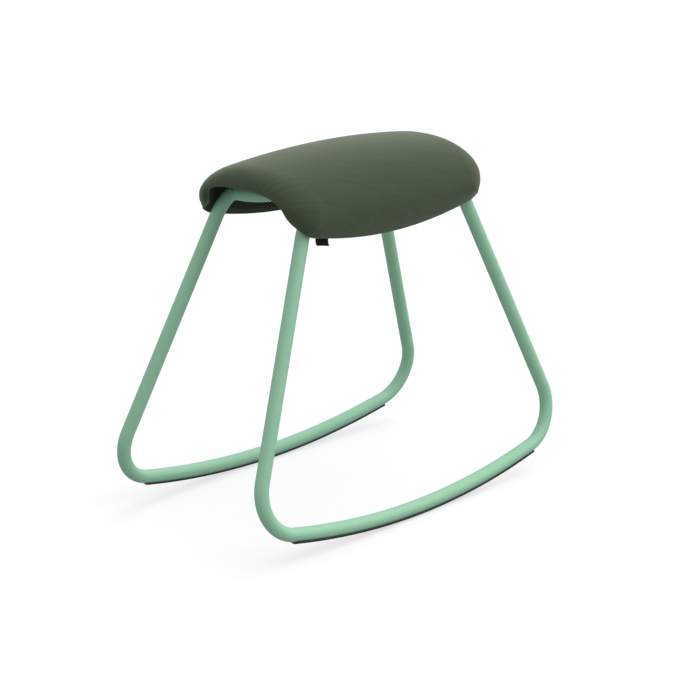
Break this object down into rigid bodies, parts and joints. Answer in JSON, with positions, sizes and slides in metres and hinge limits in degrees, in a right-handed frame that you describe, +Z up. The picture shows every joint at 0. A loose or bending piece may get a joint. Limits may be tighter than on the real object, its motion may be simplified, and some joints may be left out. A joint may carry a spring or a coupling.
{
  "type": "rocking stool",
  "caption": "Rocking stool: leaning closed tube loops with curved runners carry a padded saddle seat over bent rails and cross plates.",
  "frame": {"origin": "on the floor under the middle of the two runners", "axes": "+Z up, the front of the seat faces -Y and its left side is -X"},
  "size_m": [0.4268, 0.7722, 0.6554],
  "materials": {
    "frame_tube": "matte powder coat",
    "joint_sleeve": "plain steel tube",
    "runner_strip": "matte",
    "seat_shell": "moulded",
    "threaded_insert": "plain",
    "fastener": "zinc plated",
    "seat_pad": "matte",
    "seat_foam": "cut foam",
    "seat_cover": "finely ribbed weave",
    "underside_lining": "dotted non-woven",
    "staple": "black coated wire",
    "label_tag": "smooth woven"
  },
  "bodies": {
    "root": {"left_side_loop": "frame_tube", "right_side_loop": "frame_tube", "left_joint_sleeve": "joint_sleeve", "right_joint_sleeve": "joint_sleeve", "left_seat_rail": "frame_tube", "right_seat_rail": "frame_tube", "front_cross_plate": "frame_tube", "rear_cross_plate": "frame_tube", "left_runner_strip": "runner_strip", "right_runner_strip": "runner_strip", "seat_shell": "seat_shell", "threaded_inserts": "threaded_insert", "seat_bolts": "fastener", "bolt_washers": "fastener", "seat_pads": "seat_pad", "seat_foam": "seat_foam", "seat_cover": "seat_cover", "underside_lining": "underside_lining", "lining_staples": "staple", "label_tag": "label_tag"}
  },
  "joints": []
}
